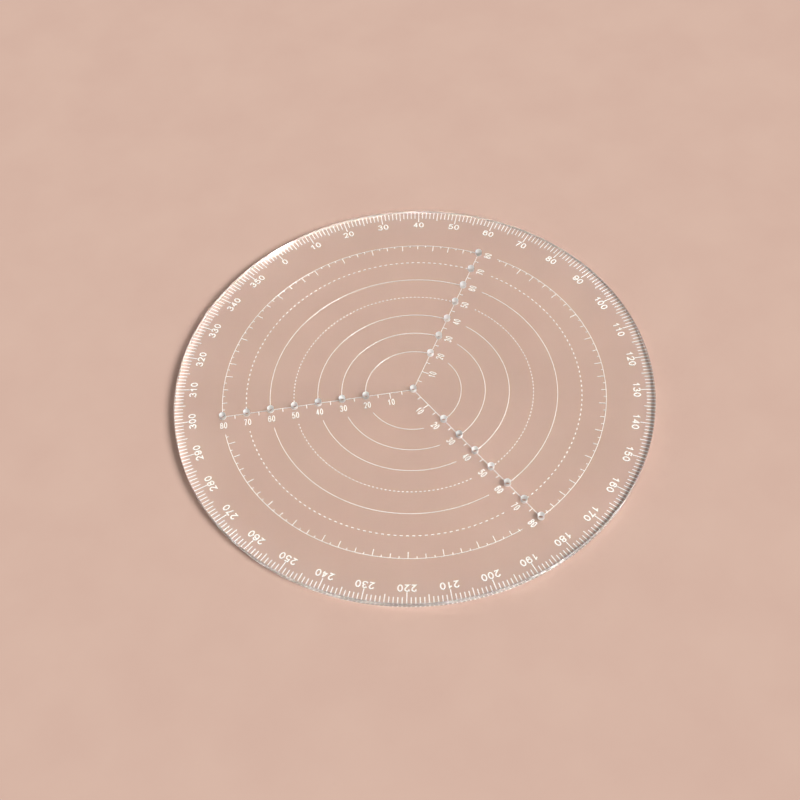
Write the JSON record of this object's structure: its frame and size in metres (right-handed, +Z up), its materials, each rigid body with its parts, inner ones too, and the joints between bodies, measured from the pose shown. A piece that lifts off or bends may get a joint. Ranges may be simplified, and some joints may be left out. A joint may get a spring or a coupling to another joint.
{
  "type": "circle template",
  "caption": "Clear round drafting template with a degree scale on its rim, concentric circles and ruled lines of small marking-out holes.",
  "frame": {"origin": "centre of the disc's underside, on the surface that it lies on", "axes": "+Z up through the disc's thickness; +Y from the centre towards the 0 degree mark; +X towards the 90 degree mark"},
  "size_m": [0.2, 0.2, 0.003],
  "materials": {
    "clear_acrylic": "clear cast acrylic, polished faces, laser-cut edge",
    "white_fill": "matt white fill in engraved marks"
  },
  "bodies": {
    "root": {"circle_20_from_060": "white_fill", "circle_20_from_180": "white_fill", "circle_20_from_300": "white_fill", "circle_30_from_060": "white_fill", "circle_30_from_180": "white_fill", "circle_30_from_300": "white_fill", "circle_40_from_060": "white_fill", "circle_40_from_180": "white_fill", "circle_40_from_300": "white_fill", "circle_50_from_060": "white_fill", "circle_50_from_180": "white_fill", "circle_50_from_300": "white_fill", "circle_60_from_060": "white_fill", "circle_60_from_180": "white_fill", "circle_60_from_300": "white_fill", "circle_70_from_060": "white_fill", "circle_70_from_180": "white_fill", "circle_70_from_300": "white_fill", "circle_80_from_060": "white_fill", "circle_80_from_180": "white_fill", "circle_80_from_300": "white_fill", "degree_scale_000": "white_fill", "degree_scale_030": "white_fill", "degree_scale_060": "white_fill", "degree_scale_090": "white_fill", "degree_scale_120": "white_fill", "degree_scale_150": "white_fill", "degree_scale_180": "white_fill", "degree_scale_210": "white_fill", "degree_scale_240": "white_fill", "degree_scale_270": "white_fill", "degree_scale_300": "white_fill", "degree_scale_330": "white_fill", "rule_060_from_00": "white_fill", "rule_060_from_20": "white_fill", "rule_060_from_30": "white_fill", "rule_060_from_40": "white_fill", "rule_060_from_50": "white_fill", "rule_060_from_60": "white_fill", "rule_060_from_70": "white_fill", "rule_180_from_00": "white_fill", "rule_180_from_20": "white_fill", "rule_180_from_30": "white_fill", "rule_180_from_40": "white_fill", "rule_180_from_50": "white_fill", "rule_180_from_60": "white_fill", "rule_180_from_70": "white_fill", "rule_300_from_00": "white_fill", "rule_300_from_20": "white_fill", "rule_300_from_30": "white_fill", "rule_300_from_40": "white_fill", "rule_300_from_50": "white_fill", "rule_300_from_60": "white_fill", "rule_300_from_70": "white_fill", "template_disc": "clear_acrylic"}
  },
  "joints": []
}
